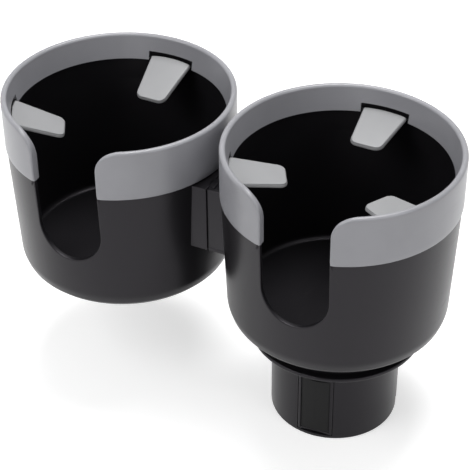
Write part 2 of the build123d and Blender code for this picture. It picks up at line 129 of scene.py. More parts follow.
def moulded(name, colour, roughness, grain_size, grain_depth, specular=0.5, tint=(1, 1, 1, 1), metallic=0.0):
    """Moulded plastic, rubber or drawn steel: fine grain, faint clouds and hair scratches from handling.

    The clouds move the colour a few percent and the roughness by up to 0.04 each way. A scratch is where a
    noise, stretched fifteen times in one direction, comes near its peaks.
    """
    material, shader, place = new_material(name)
    grain_scale = 1 / (grain_size * mm)
    grain = place.node("ShaderNodeTexNoise", Vector=place, Scale=grain_scale, Detail=2.0, Roughness=0.6)
    clouds = place.node("ShaderNodeTexNoise", Vector=place, Scale=cloud_scale, Detail=3.0, Roughness=0.55)
    streak_place = place.node("ShaderNodeMapping", Vector=place, Rotation=scratch_turn, Scale=scratch_scale)
    streaks = place.node("ShaderNodeTexNoise", Vector=streak_place, Scale=1.0, Detail=1.0)
    scratch = streaks.step(scratch_low, scratch_high)
    darker = tuple(c * 0.94 for c in colour) + (1,)
    lighter = tuple(c * 1.05 for c in colour) + (1,)
    feed(shader, "Base Color", clouds.step(0.3, 0.7).mix(darker, lighter))
    feed(shader, "Roughness", roughness + (clouds - 0.5) * 0.08 + scratch * 0.05)
    bump = place.node("ShaderNodeBump", Height=grain, Strength=1.0, Distance=grain_depth * mm)
    feed(shader, "Normal", bump)
    feed(shader, "Specular IOR Level", specular)
    feed(shader, "Specular Tint", tint)
    feed(shader, "Metallic", metallic)
    return material


def dress(names, material):
    """Give CAD nodes that stay in view their material."""
    for name in names:
        slots = nodes[name].data.materials
        slots.clear()
        slots.append(material)


black_plastic = moulded(
    "black_moulding", (0.0085, 0.008, 0.0092), 0.31, 0.35, 0.009, specular=0.235, tint=(1.0, 0.95, 1.04, 1)
)
steel = moulded("drawn_steel", (0.55, 0.55, 0.56), 0.3, 0.4, 0.004, metallic=1.0)
dress(["foot_housing", "guide_plate"], black_plastic)
dress(["guide_plate_screws"], steel)

# Jaws and their pads
# Three black mouldings slide out of the foot's side to grip the holder. Each carries a soft rubber pad,
# pressed into a seat in its face, and has a pin above that the collar's scroll drives.
jaw_azimuths = [-84.9, 35.1, 155.1]
jaw_radius = 31.6
jaw_back = 26.6
jaw_half_width = 8.9
jaw_low = 2.15
jaw_high = 37.35
jaw_corner = 0.8
jaw_edge = 0.7
jaw_border = 1.5
jaw_top_border = 0.4
seat_depth = 1.3
seat_draft = 0.1
pad_gap = 0.1
pad_thickness = 0.9
pad_corner = 0.4
pad_edge = 0.35
arm_inner = 11.2
arm_outer = 27.9
arm_half_width = 5.0
post_outer = 19.2
post_low = jaw_high - 1.0
post_high = 45.8
pin_circle = 16.0
pin_radius = 2.0
pin_low = 45.5
pin_high = 52.5
corner_steps = 6


def soften(points, radii, steps=corner_steps):
    """Closed outline with round corners: each corner becomes an arc that touches both its sides.

    Where the two sides stand at an angle a, an arc of radius r has its middle r / sin(a / 2) from the corner,
    on the bisector, and touches the sides r / tan(a / 2) from the corner.
    """
    points = np.array(points, float)
    before = np.roll(points, 1, 0) - points
    after = np.roll(points, -1, 0) - points
    before /= np.linalg.norm(before, axis=1)[:, None]
    after /= np.linalg.norm(after, axis=1)[:, None]
    half = np.arccos(np.clip(np.sum(before * after, 1), -1, 1)) / 2
    bisector = before + after
    bisector /= np.linalg.norm(bisector, axis=1)[:, None]
    radii = np.array(radii, float)
    centre = points + bisector * (radii / np.sin(half))[:, None]
    start = points + before * (radii / np.tan(half))[:, None] - centre
    end = points + after * (radii / np.tan(half))[:, None] - centre
    share = np.linspace(0, 1, steps + 1)[None, :, None]
    angle = (math.pi - 2 * half)[:, None, None]
    arc = np.sin((1 - share) * angle) * start[:, None] + np.sin(share * angle) * end[:, None]
    return (centre[:, None] + arc / np.sin(angle)).reshape(-1, 2)


def inset(outline, distance):
    """The outline moved inwards: each corner goes along its bisector until both sides have moved that far."""
    ahead = np.roll(outline, -1, 0) - outline
    ahead /= np.linalg.norm(ahead, axis=1)[:, None]
    inward = np.stack([-ahead[:, 1], ahead[:, 0]], 1)
    mitre = inward + np.roll(inward, 1, 0)
    mitre *= 2 / np.sum(mitre * mitre, 1)[:, None]
    return outline + mitre * distance


def carried(outline, rows):
    """Profile carried round a closed outline: for each row (inset, height), the inset outline at a height."""
    layers = [np.column_stack([inset(outline, step), np.full(len(outline), height)]) for step, height in rows]
    return np.stack(layers, 1)


def round_over(edge, level, steps=5):
    """Rows of a quarter circle of radius edge that ends flat at a level.

    At an angle a, the row lies edge * (1 - cos a) inside the outline and edge * (1 - sin a) under the level.
    """
    turns = np.linspace(0, math.pi / 2, steps)
    return [(edge - edge * math.cos(a), level - edge + edge * math.sin(a)) for a in turns]


def edge_rows(low, high, edge, steps=5):
    """Rows of a plate from low to high whose lower and upper edges are quarter circles of radius edge."""
    turns = np.linspace(0, math.pi / 2, steps)
    lower = [(edge - edge * math.sin(a), low + edge - edge * math.cos(a)) for a in turns]
    return lower + round_over(edge, high, steps)


def skin(grid, along=False, across=False, caps=""):
    """Faces over a grid of points: (points, faces). It may close along, across, or with caps at its ends."""
    count, depth = grid.shape[:2]
    index = np.arange(count * depth).reshape(count, depth)
    wrapped = np.vstack([index, index[:1]]) if along else index
    wrapped = np.hstack([wrapped, wrapped[:, :1]]) if across else wrapped
    corners = (wrapped[:-1, :-1], wrapped[1:, :-1], wrapped[1:, 1:], wrapped[:-1, 1:])
    faces = np.stack(corners, -1).reshape(-1, 4).tolist()
    if caps == "rows":
        faces += [index[::-1, 0].tolist(), index[:, -1].tolist()]
    if caps == "ends":
        faces += [index[0].tolist(), index[-1, ::-1].tolist()]
    return grid.reshape(-1, 3), faces


def piece(name, skins, material, body, stands_for, crease=40.0):
    """One object of one or more closed skins in millimetres, merged at its seams, riding on a body."""
    offsets = np.cumsum([0] + [len(points) for points, _ in skins])
    points = np.concatenate([points for points, _ in skins]) * mm
    faces = [[i + start for i in face] for start, (_, each) in zip(offsets.tolist(), skins) for face in each]
    mesh = bpy.data.meshes.new(name)
    mesh.from_pydata(points.tolist(), [], faces)
    work = bmesh.new()
    work.from_mesh(mesh)
    bmesh.ops.remove_doubles(work, verts=work.verts, dist=2e-6)
    bmesh.ops.dissolve_degenerate(work, edges=work.edges, dist=1e-7)
    bmesh.ops.recalc_face_normals(work, faces=work.faces)
    work.to_mesh(mesh)
    work.free()
    mesh.shade_smooth()
    mesh.set_sharp_from_angle(angle=math.radians(crease))
    mesh.materials.append(material)
    thing = bpy.data.objects.new(name, mesh)
    scene.collection.objects.link(thing)
    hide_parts(*stands_for)
    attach(thing, body)


def turned(points, azimuth):
    """Points turned about the foot's axis by an azimuth in degrees."""
    angle = math.radians(azimuth)
    c, s = math.cos(angle), math.sin(angle)
    return points @ np.array([[c, s, 0], [-s, c, 0], [0, 0, 1]])


def bent(grid):
    """A flat grid (side, height, radius) wrapped on the foot: the point stands at its radius from the axis.

    Its distance out along the jaw's middle plane is the root of radius squared less side squared.
    """
    side, height, radius = np.moveaxis(grid, -1, 0)
    return np.stack([np.sqrt(radius**2 - side**2), side, height], -1)


def box_outline(half_width, low, high, corner):
    """Rectangle with round corners, counter-clockwise."""
    points = [(-half_width, low), (half_width, low), (half_width, high), (-half_width, high)]
    return soften(points, [corner] * 4)


def block(x0, x1, y0, y1, z0, z1, edge=0.3):
    """Box with softened upright edges and round upper and lower edges."""
    outline = soften([(x0, y0), (x1, y0), (x1, y1), (x0, y1)], [2 * edge] * 4, steps=3)
    return skin(carried(outline, edge_rows(z0, z1, edge, steps=3)), along=True, caps="rows")


def rod(centre, radius, low, high, edge=0.3):
    """Round rod about an upright axis, its ends softened."""
    angle = np.linspace(0, 2 * math.pi, 32, endpoint=False)
    outline = np.stack([centre[0] + radius * np.cos(angle), centre[1] + radius * np.sin(angle)], 1)
    return skin(carried(outline, edge_rows(low, high, edge, steps=3)), along=True, caps="rows")


def crossing(half_width, start, steps=8):
    """Insets from a start to just short of the middle line, so that a bent face follows the curve."""
    return np.linspace(start, half_width - 0.01, steps)


panel_back = [(step, jaw_back) for step in crossing(jaw_half_width, 0)[::-1]]
panel_edge = round_over(jaw_edge, jaw_radius)
seat_wall = jaw_border + seat_draft
seat_rows = [(jaw_border, jaw_radius), (seat_wall, jaw_radius - seat_draft)]
seat_rows += [(step, jaw_radius - seat_depth) for step in crossing(jaw_half_width, seat_wall)]
panel_outline = box_outline(jaw_half_width, jaw_low, jaw_high, jaw_corner)
panel_grid = carried(panel_outline, panel_back + panel_edge + seat_rows)

# The seat is stretched upwards, because its upper border is narrower than the others
seat_low = jaw_low + jaw_border
seat_stretch = (jaw_high - jaw_top_border - seat_low) / (jaw_high - jaw_border - seat_low)
seat_height = panel_grid[:, len(panel_back) + len(panel_edge):, 1]
seat_height[:] = seat_low + (seat_height - seat_low) * seat_stretch

pad_half_width = jaw_half_width - jaw_border - pad_gap
pad_back = jaw_radius - seat_depth
pad_face = pad_back + pad_thickness
pad_outline = box_outline(pad_half_width, seat_low + pad_gap, jaw_high - jaw_top_border - pad_gap, pad_corner)
pad_rows = [(step, pad_back) for step in crossing(pad_half_width, 0)[::-1]]
pad_rows += round_over(pad_edge, pad_face, steps=4)
pad_rows += [(step, pad_face) for step in crossing(pad_half_width, pad_edge)[1:]]
pad_rubber = moulded("pad_rubber", (0.007, 0.007, 0.0073), 0.6, 0.5, 0.015, specular=0.2)

jaw_parts = [
    skin(bent(panel_grid), along=True, caps="rows"),
    block(arm_inner, arm_outer, -arm_half_width, arm_half_width, jaw_low, jaw_high),
    block(arm_inner, post_outer, -arm_half_width, arm_half_width, post_low, post_high),
    rod((pin_circle, 0), pin_radius, pin_low, pin_high),
]
pad_points, pad_faces = skin(bent(carried(pad_outline, pad_rows)), along=True, caps="rows")
for number, azimuth in enumerate(jaw_azimuths, start=1):
    jaw = f"jaw_{number}"
    jaw_skins = [(turned(points, azimuth), faces) for points, faces in jaw_parts]
    piece(f"jaw_panel_{number}", jaw_skins, black_plastic, jaw, [jaw])
    pad_skins = [(turned(pad_points, azimuth), pad_faces)]
    piece(f"grip_pad_{number}", pad_skins, pad_rubber, jaw, [f"jaw_pad_{number}"])

# Collar, pivot bolt and the collar's screws
# The collar is a black moulding screwed under the main cup. Its flange covers the foot's rim, its scroll
# drives the jaws, and a steel bolt and washer hold it to the foot so that it can turn.
dress(["scroll_collar"], black_plastic)
dress(["pivot_bolt", "pivot_washer", "collar_screws"], steel)

# Cup shells
# Two black mouldings that widen upwards, each with a handle notch in front and half of a dovetail bracket at
# its side. A thin neck on each wall carries the rim, and the main cup's posts take the collar's screws.
foot_height = 58.7
cup_spacing = 115.25
seam_x = -cup_spacing / 2
band_low = 66.9
bend_top = 7.55
outer_foot = 53.1
outer_top = 55.5
draft_low = 11.5
inner_foot = 50.8
inner_top = 53.2
floor_top = 3.5
floor_fillet = 3.0
notch_half = 16.5
notch_floor = 27.8
shell_corner = 0.4
shell_edge = 0.45
fan_height = 16.0
fan_radius = 54.0
fan_side = 17.0
fan_corner = (33.7, 35.5)
neck_inner = 53.2
neck_outer = 54.6
neck_low = 66.4
neck_high = 85.0
neck_edge = 0.3
neck_side = 19.95
post_circle = 28.5
post_lag = 0.3
post_radius = 3.4
post_span = (52.8, 61)


def outer_radius(height):
    """Shell's outer wall: a straight draft from its bend to its top."""
    return np.interp(height, [bend_top, band_low], [outer_foot, outer_top])


def inner_radius(height):
    """Shell's inner wall: upright over the floor, then a straight draft to its top."""
    return np.interp(height, [draft_low, band_low], [inner_foot, inner_top])


def around(side, turn, radius):
    """Angle of an edge's point from the notch's middle, going round the cup.

    Beside the notch turn is -1 or 1, and the point lies arcsin(side / radius) from the middle, where side is
    its distance from the middle plane. Behind it, turn runs evenly from -1 to 1 over the rest of the circle.
    """
    start = np.arcsin(side / radius)
    return math.pi + turn * (math.pi - start)


def placed(cup_x, angle, radius, height):
    """Points of a cup from their angle from the notch's middle, radius and height over the cup's underside.

    From the cup's axis x is radius * sin(angle), and y is minus radius * cos(angle).
    """
    angle, radius, height = np.broadcast_arrays(angle, radius, height)
    x = cup_x + radius * np.sin(angle)
    return np.stack([x, -radius * np.cos(angle), foot_height + height], -1)


def both_sides(half, middle=()):
    """Values from one end of an edge's path to the other: one side, the middle, and the side in reverse."""
    return np.concatenate([half, middle, half[::-1]])


def rounded_edge(path, edge, radius_out, radius_in, steps=5):
    """Rows over a free edge: a quarter circle from the outer wall, a flat, and a quarter circle to the inner.

    A point at a turn a lies edge * (1 - sin a) inside the edge's path and edge * (1 - cos a) off its wall.
    """
    side, height, normal_side, normal_height, turn = path
    rows = []
    for wall, order, sign in ((radius_out, 1, -1), (radius_in, -1, 1)):
        for a in np.linspace(0, math.pi / 2, steps)[::order]:
            depth = edge * (1 - math.sin(a))
            z = height + depth * normal_height
            radius = wall(z) + sign * edge * (1 - math.cos(a))
            rows.append((around(side + depth * normal_side, turn, radius), radius, z))
    return rows


def between(first, last, steps, wall):
    """Rows between two rows on one wall, straight on the unrolled wall, at the wall's radius."""
    rows = []
    for share in np.linspace(0, 1, steps + 2)[1:-1]:
        z = first[2] + (last[2] - first[2]) * share
        rows.append((first[0] + (last[0] - first[0]) * share, wall(z), z))
    return rows


def shell_skin(cup_x):
    """Cup wall and floor: its section runs from the underside's middle up the outer wall, over the edge of
    the notch or top, down the inner wall and over the floor to its middle.

    Its columns follow the edge's path: half round the notch's floor, up its side, over its upper corner and
    along the top to the back. Below a level ring they stand evenly round the cup, and fan out to the notch.
    """
    arc = np.linspace(0, math.pi / 2, 15)
    rise = np.linspace(0, 1, 9)[1:-1]
    corner = np.linspace(0, math.pi / 2, 5)
    level = np.linspace(-1, 0, 101)[1:]
    beside = len(arc) + len(rise) + len(corner)
    notch_top = notch_floor + notch_half
    corner_low = band_low - shell_corner
    side = np.concatenate([
        notch_half * np.sin(arc),
        np.full(len(rise), notch_half),
        notch_half + shell_corner * (1 - np.cos(corner)),
        np.full(len(level), notch_half + shell_corner),
    ])
    height = np.concatenate([
        notch_floor + notch_half * (1 - np.cos(arc)),
        notch_top + rise * (corner_low - notch_top),
        corner_low + shell_corner * np.sin(corner),
        np.full(len(level), band_low),
    ])
    normal_side = np.concatenate([np.sin(arc), np.ones(len(rise)), np.cos(corner), np.zeros(len(level))])
    normal_height = np.concatenate([-np.cos(arc), np.zeros(len(rise)), -np.sin(corner), -np.ones(len(level))])
    turn = np.concatenate([np.full(beside, -1.0), level])
    path = [both_sides(half) for half in (side, height, normal_side, normal_height)]
    path.append(np.concatenate([turn, -turn[::-1]]))

    # Angles of the columns on the level ring
    base_side = np.concatenate([
        notch_half * np.sin(arc), notch_half + fan_side * rise, np.linspace(*fan_corner, len(corner)),
    ])
    fan_end = fan_corner[1] / fan_radius
    base = np.concatenate([base_side / fan_radius, fan_end + (math.pi - fan_end) * (level + 1)])
    base = np.concatenate([base, 2 * math.pi - base[::-1]])

    def ring(radius, z):
        """A level row at one radius."""
        return base, np.full(len(base), float(radius)), np.full(len(base), float(z))

    # The underside has a shallow recess for the collar, and three blended arcs lead up from it to the wall
    under = [(0, 1.0), (20, 1.0), (38.2, 1.0), (38.55, 0.7), (38.6, 0.3), (38.9, 0), (46.6, 0), (48, 0.1)]
    bend = [(0, 0), (48.5, 0), (51.7, 3.25), (outer_foot, bend_top), (fan_radius, 30), (0, 30)]
    bend = soften(bend, [1, 3.2, 4.2, 12, 1, 1])
    corner_points = corner_steps + 1
    bend = bend[corner_points + 1 : corner_points * 4]
    sweep = np.linspace(0, math.pi / 2, 8)
    floor_radius = inner_foot - floor_fillet * (1 - np.cos(sweep))
    floor_height = floor_top + floor_fillet * (1 - np.sin(sweep))
    inside = list(zip(floor_radius, floor_height)) + [(30, floor_top), (0, floor_top)]

    # The edge is round beside the notch and sharp on top, where the rim covers it
    edge_size = both_sides(np.concatenate([
        np.full(len(arc) + len(rise), shell_edge),
        np.linspace(shell_edge, 0, len(corner)),
        np.zeros(len(level)),
    ]))
    edge = rounded_edge(path, edge_size, outer_radius, inner_radius)
    low_out = ring(outer_radius(fan_height), fan_height)
    low_in = ring(inner_radius(fan_height), fan_height)
    rows = [ring(*point) for point in under + bend.tolist()] + [low_out]
    rows += between(low_out, edge[0], 14, outer_radius) + edge
    rows += between(edge[-1], low_in, 14, inner_radius) + [low_in] + [ring(*point) for point in inside]
    return skin(np.stack([placed(cup_x, *row) for row in rows], 1))


def neck_skin(cup_x):
    """Thin ring on the wall's top that the rim's channel grips: a section carried round to the notch."""
    section = [
        (neck_inner, neck_low),
        (neck_outer, neck_low),
        (neck_outer, neck_high - neck_edge),
        (neck_outer - neck_edge, neck_high),
        (neck_inner + neck_edge, neck_high),
        (neck_inner, neck_high - neck_edge),
    ]
    start = math.asin(neck_side / fan_radius)
    angle = np.linspace(start, 2 * math.pi - start, 181)
    rows = [placed(cup_x, angle, radius, z) for radius, z in section]
    return skin(np.stack(rows, 1), across=True, caps="ends")


bracket_root = 53.4
bracket_half = 23.5
bracket_low = foot_height + 31.0
bracket_high = foot_height + 66.0
bracket_corner = 0.6
bracket_edge = 0.25
stop_high = bracket_low + 2.5
stop_edge = 0.4
seam_gap = 0.15
dovetail_places = (-17, 17)
groove_low = bracket_low + 2.3
groove_depth = 2.8
groove_mouth = 2.3
groove_back = 4.1
tongue_low = foot_height + 33.8
tongue_reach = 2.7
tongue_neck = 2.2
tongue_tip = 4.0
tongue_edge = 0.1


def forwards(outline):
    """The outline, reversed if it runs clockwise: its area is half the sum of x * next y - next x * y."""
    ahead = np.roll(outline, -1, 0)
    area = np.sum(outline[:, 0] * ahead[:, 1] - ahead[:, 0] * outline[:, 1])
    return outline if area > 0 else outline[::-1]


def bracket_outline(cup_x, way, grooves):
    """Plan of a bracket half from inside the cup's wall to the seam, with dovetail grooves or not.

    Its root is an arc about the cup's axis. The other corners are softened, and the root's two are dropped.
    """
    face = seam_x - way * seam_gap
    sweep = np.arcsin(bracket_half / bracket_root) * np.linspace(1, -1, 13)
    root = np.stack([cup_x + way * bracket_root * np.cos(sweep), bracket_root * np.sin(sweep)], 1)
    points = [root[-1], (face, -bracket_half)]
    radii = [0.1, bracket_corner]
    for y in dovetail_places if grooves else ():
        back = face + groove_depth
        points += [(face, y - groove_mouth), (back, y - groove_back)]
        points += [(back, y + groove_back), (face, y + groove_mouth)]
        radii += [0.3, 0.2, 0.2, 0.3]
    points += [(face, bracket_half), root[0]]
    radii += [bracket_corner, 0.1]
    corners = soften(points, radii, steps=3)
    return forwards(np.concatenate([corners[4:-4], root]))


def tongue_skin(y):
    """Dovetail tongue of the side cup's bracket, from inside the bracket to its wide tip."""
    root, tip = seam_x - 1, seam_x + tongue_reach
    points = [(root, y - tongue_neck), (tip, y - tongue_tip), (tip, y + tongue_tip), (root, y + tongue_neck)]
    outline = forwards(soften(points, [0.2] * 4, steps=3))
    rows = edge_rows(tongue_low, bracket_high, tongue_edge, steps=3)
    return skin(carried(outline, rows), along=True, caps="rows")


def bracket_skin(cup_x, way, grooves, low, high, edge, steps):
    """Bracket half: its plan carried up from low to high, with round edges."""
    outline = bracket_outline(cup_x, way, grooves)
    return skin(carried(outline, edge_rows(low, high, edge, steps)), along=True, caps="rows")


main_skins = [
    shell_skin(0),
    neck_skin(0),
    bracket_skin(0, -1, True, groove_low, bracket_high, bracket_edge, 4),
    bracket_skin(0, -1, False, bracket_low, stop_high, stop_edge, 3),
]
for azimuth in np.radians(jaw_azimuths) - math.radians(post_lag):
    middle = (post_circle * math.cos(azimuth), post_circle * math.sin(azimuth))
    main_skins.append(rod(middle, post_radius, *post_span))
piece("main_cup_wall", main_skins, black_plastic, "main_cup", ["main_cup_shell"])
side_skins = [
    shell_skin(-cup_spacing),
    neck_skin(-cup_spacing),
    bracket_skin(-cup_spacing, 1, False, bracket_low, bracket_high, bracket_edge, 4),
]
side_skins += [tongue_skin(y) for y in dovetail_places]
piece("side_cup_wall", side_skins, black_plastic, "side_cup", ["side_cup_shell"])

# Rims
# Each rim is a grey moulding, a channel pressed down over the cup's neck. It is closed beside the notch,
# has a round bead on top, and a window in its inner skirt for each flap.
rim_outside = 56.0
rim_high = 92.2
bead = 1.5
flare = 10.5
flare_x = notch_half + flare
flare_z = rim_high - flare
band_foot_edge = 0.4
end_edge = 1.1
end_wall = 2.6
end_radius = 52.0
skirt_low = 79.4
skirt_front = 50.9
skirt_back = 52.9
skirt_back_top = 53.9
skirt_radius_unrolled = 51.0
skirt_step = 1.5
channel_out = 54.8
channel_high = 88.3
window_half = 12.3
window_radius = 51.5
window_high = 83.9
flap_azimuths = {"back": 89.3, "left": 209.3, "right": 329.3}


def band_radius(height):
    """Rim's outer face: upright, with its lower edge a quarter circle."""
    rise = np.clip(height - band_low, 0, band_foot_edge)
    return rim_outside - band_foot_edge + np.sqrt(band_foot_edge**2 - (band_foot_edge - rise) ** 2)


def skirt_radius(height):
    """Rim's inner face: it leans outwards from the skirt's lower edge to the bead."""
    return np.interp(height, [skirt_low, rim_high - bead], [skirt_front, rim_outside - 2 * bead])


def skirt_foot():
    """Lower edge of the skirt, up and down round its windows: (angles from the notch's middle, heights).

    It is straight between its corners on the unrolled skirt, in steps of about skirt_step.
    """
    start = math.asin(flare_x / end_radius)
    window = math.asin(window_half / window_radius)
    angles = [start]
    heights = [skirt_low]
    for middle in np.radians(sorted((azimuth + 90) % 360 for azimuth in flap_azimuths.values())):
        angles += [middle - window, middle - window, middle + window, middle + window]
        heights += [skirt_low, window_high, window_high, skirt_low]
    angles.append(2 * math.pi - start)
    heights.append(skirt_low)
    lengths = np.hypot(np.diff(angles) * skirt_radius_unrolled, np.diff(heights))
    counts = np.maximum(np.round(lengths / skirt_step), 3).astype(int)
    share = np.concatenate([[0.0]] + [i + np.arange(1, n + 1) / n for i, n in enumerate(counts)])
    corners = np.arange(len(angles))
    return np.interp(share, corners, angles), np.interp(share, corners, heights)


def rim_skin(cup_x):
    """Rim: its section runs up the band, over the bead or end wall, down the skirt, and back up and down
    through the channel that the neck stands in.

    Its columns follow the free edge: up an end wall, round the flare, along the top and down the other end.
    """
    skirt_angle, skirt_height = skirt_foot()
    bow = np.linspace(0, math.pi / 2, 13)[:-1]
    lift = np.linspace(0, 1, 9)[:-1]
    columns = len(skirt_angle)
    beside = len(lift) + len(bow)
    total = 2 * beside + columns

    # Along the top the columns keep to the skirt's, a little apart where those stand over each other
    upright_share = 0.3
    travel = np.abs(np.diff(skirt_angle)) * skirt_radius_unrolled
    travel += upright_share * np.abs(np.diff(skirt_height))
    travel = np.concatenate([[0], np.cumsum(travel)])
    level = 2 * travel / travel[-1] - 1

    # Free edge: its distance from the middle plane, its height, its way inwards and its turn
    climb = band_low + lift * (flare_z - band_low)
    side = np.concatenate([np.full(len(lift), notch_half), flare_x - flare * np.cos(bow)])
    height = np.concatenate([climb, flare_z + flare * np.sin(bow)])
    normal_side = np.concatenate([np.ones(len(lift)), np.cos(bow)])
    normal_height = np.concatenate([np.zeros(len(lift)), -np.sin(bow)])
    path = [
        both_sides(side, np.full(columns, flare_x)),
        both_sides(height, np.full(columns, rim_high)),
        both_sides(normal_side, np.zeros(columns)),
        both_sides(normal_height, -np.ones(columns)),
        np.concatenate([np.full(beside, -1.0), level, np.full(beside, 1.0)]),
    ]
    edge_size = np.concatenate([np.full(len(lift), end_edge), end_edge + (bead - end_edge) * np.sin(bow)])
    edge_size = both_sides(edge_size, np.full(columns, bead))
    edge = rounded_edge(path, edge_size, band_radius, skirt_radius, steps=7)

    # On the band's foot the end's and the flare's columns fan out first, and the top's follow evenly
    foot_lift = 0.7
    foot_flare = 10.4
    foot_even = 21.9
    foot_length = rim_outside * (2 * math.pi - 2 * math.asin(notch_half / rim_outside))
    fan = foot_flare + (foot_even - foot_flare) * bow / (math.pi / 2)
    fan = np.concatenate([foot_lift * (climb - band_low), fan])
    foot_share = fan / foot_length
    even_share = foot_even / foot_length
    even = even_share + (1 - 2 * even_share) * (level + 1) / 2
    foot_share = np.concatenate([foot_share, even, 1 - foot_share[::-1]])

    def foot_row(start_side, radius, z):
        """A level row from one end wall to the other, whose ends lie start_side from the middle plane."""
        start = math.asin(start_side / radius)
        angle = start + foot_share * (2 * math.pi - 2 * start)
        return angle, np.full(total, float(radius)), np.full(total, float(z))

    # Free lower edge of the end walls' backs and of the skirt
    wall_side = notch_half + end_wall
    start = math.asin(wall_side / end_radius)
    run = start + (skirt_angle[0] - start) * np.linspace(0, 1, 13)[:-1]
    back = np.concatenate([np.full(len(lift), start), run])
    back_angle = np.concatenate([back, skirt_angle, 2 * math.pi - back[::-1]])
    back_height = np.concatenate([band_low + (skirt_low - band_low) * lift, np.full(len(run), skirt_low)])
    back_height = both_sides(back_height, skirt_height)

    # The channel reaches its full height a little way from each end wall
    into = np.concatenate([np.zeros(len(lift) + 1), np.linspace(0, 1, 12)[1:], np.ones(total)])[:total]
    into = np.minimum(into, into[::-1])
    top = channel_high * into + back_height * (1 - into)
    lean = skirt_back + (skirt_back_top - skirt_back) * into

    foot_out = foot_row(notch_half + end_edge, rim_outside, band_low)
    rows = [(foot_out[0], band_radius(foot_out[2]), foot_out[2])]
    for small in (0.06, 0.2, band_foot_edge):
        z = np.minimum(band_low + small, path[1])
        rows.append((foot_out[0], band_radius(z), z))
    rows += between(rows[-1], edge[0], 8, band_radius) + edge
    free = (back_angle, skirt_radius(back_height), back_height)
    rows += between(edge[-1], free, 8, skirt_radius) + [free]
    rows.append((back_angle, skirt_back, back_height))
    rows.append((back_angle, lean, top))
    rows.append((back_angle, channel_out, top))
    foot_in = foot_row(wall_side, channel_out, band_low)
    rows += between(rows[-1], foot_in, 4, lambda z: channel_out) + [foot_in]
    return skin(np.stack([placed(cup_x, *row) for row in rows], 1), across=True, caps="ends")


rim_plastic = moulded("grey_moulding", (0.262, 0.262, 0.282), 0.34, 0.3, 0.008, specular=0.6)
piece("main_rim_band", [rim_skin(0)], rim_plastic, "main_cup", ["main_rim"])
piece("side_rim_band", [rim_skin(-cup_spacing)], rim_plastic, "side_cup", ["side_rim"])

# Flaps, their pins and springs
# Three light grey moulded flaps in each cup fold down as a drink goes in. Each turns on a thin steel pin
# in the rim's window, and a coiled steel wire spring on that pin pushes it back up.
hinge_radius = 50.6
hinge_height = 80.7
droops = {"main": 8.8, "side": 22.5}
flap_root_radius = 52.3
flap_root_half = 11.15
flap_root_arc = 9.7
flap_tip_reach = 25.5
flap_tip_half = 7.9
root_corner = 1.2
tip_corner = 4.0
bay_half = 3.5
bay_reach = 2.3
bay_mouth_corner = 1.05
bay_corner = 0.5
bay_top = 0.78
flap_half_thickness = 1.0
flap_middle = 0.1
lower_edge = 0.4
tuck_inset = 0.1
tuck_rise = 0.05
wire_radius = 0.14
coil_radius = 0.6
coil_turns = 8
coil_half_length = 2.4
leg_length = 0.8


def flap_place(cup_x, azimuth, droop):
    """A flap's frame: its hinge's middle, then the ways into the cup, along the hinge and out of its top.

    Level, it would point at the cup's axis; its droop turns it down about the hinge.
    """
    a, b = math.radians(azimuth), math.radians(droop)
    outward = np.array([math.cos(a), math.sin(a), 0])
    up = np.array([0.0, 0.0, 1.0])
    origin = np.array([cup_x, 0, foot_height + hinge_height]) + outward * hinge_radius
    along = -outward * math.cos(b) - up * math.sin(b)
    normal = up * math.cos(b) - outward * math.sin(b)
    return origin, along, np.cross(normal, along), normal


def root_points(across):
    """Points of the flap's root: at a place y along the hinge, the root's arc about the cup's axis lies
    hinge_radius less the root of flap_root_radius squared less y squared from the hinge."""
    return np.stack([hinge_radius - np.sqrt(flap_root_radius**2 - across**2), across], 1)


def flap_outline(bay):
    """Flap in plan: an arc at its root, straight tapering sides, a round tip, and the spring's bay or not."""
    root = root_points(np.array([flap_root_half, bay_half, -bay_half, -flap_root_half]))
    tip = [(flap_tip_reach, -flap_tip_half), (flap_tip_reach, flap_tip_half)]
    if bay:
        points = [root[0], root[1], (bay_reach, bay_half), (bay_reach, -bay_half), root[2], root[3]] + tip
        mouth = [root_corner, bay_mouth_corner, bay_corner]
        return soften(points, mouth + mouth[::-1] + [tip_corner] * 2)
    corners = soften([root[0], root[3]] + tip, [root_corner] * 2 + [tip_corner] * 2)
    arc = root_points(np.linspace(flap_root_arc, -flap_root_arc, 13))
    return np.insert(corners, corner_steps + 1, arc, axis=0)


def wire(path, side_axis, radius, sides=8):
    """Round wire along a path: each point carries a circle square to the path."""
    tangent = np.gradient(path, axis=0)
    tangent /= np.linalg.norm(tangent, axis=1)[:, None]
    first = side_axis - tangent * (tangent @ side_axis)[:, None]
    first /= np.linalg.norm(first, axis=1)[:, None]
    second = np.cross(tangent, first)
    angle = np.linspace(0, 2 * math.pi, sides, endpoint=False)
    circle = first[:, None] * np.cos(angle)[:, None] + second[:, None] * np.sin(angle)[:, None]
    return skin(path[:, None] + radius * circle, across=True, caps="ends")


widest = flap_middle - flap_half_thickness + lower_edge
crown = flap_middle + flap_half_thickness - widest
bay_turn = math.asin((bay_top - widest) / crown)


def crown_rows(first, last):
    """Rows up a quarter ellipse, as wide as half the flap's thickness and as high as its crown."""
    turns = np.linspace(first, last, 7)
    return [(flap_half_thickness * (1 - math.cos(a)), widest + crown * math.sin(a)) for a in turns]


# A lower plate has the spring's bay, and an upper one closes it. The lower's last row is tucked inside.
lower_turns = np.linspace(-math.pi / 2, 0, 5)[:-1]
lower_rows = [(lower_edge * (1 - math.cos(a)), widest + lower_edge * math.sin(a)) for a in lower_turns]
lower_rows += crown_rows(0, bay_turn)
lower_rows.append((lower_rows[-1][0] + tuck_inset, bay_top + tuck_rise))
upper_rows = crown_rows(bay_turn, math.pi / 2)
flap_plates = [carried(flap_outline(True), lower_rows), carried(flap_outline(False), upper_rows)]

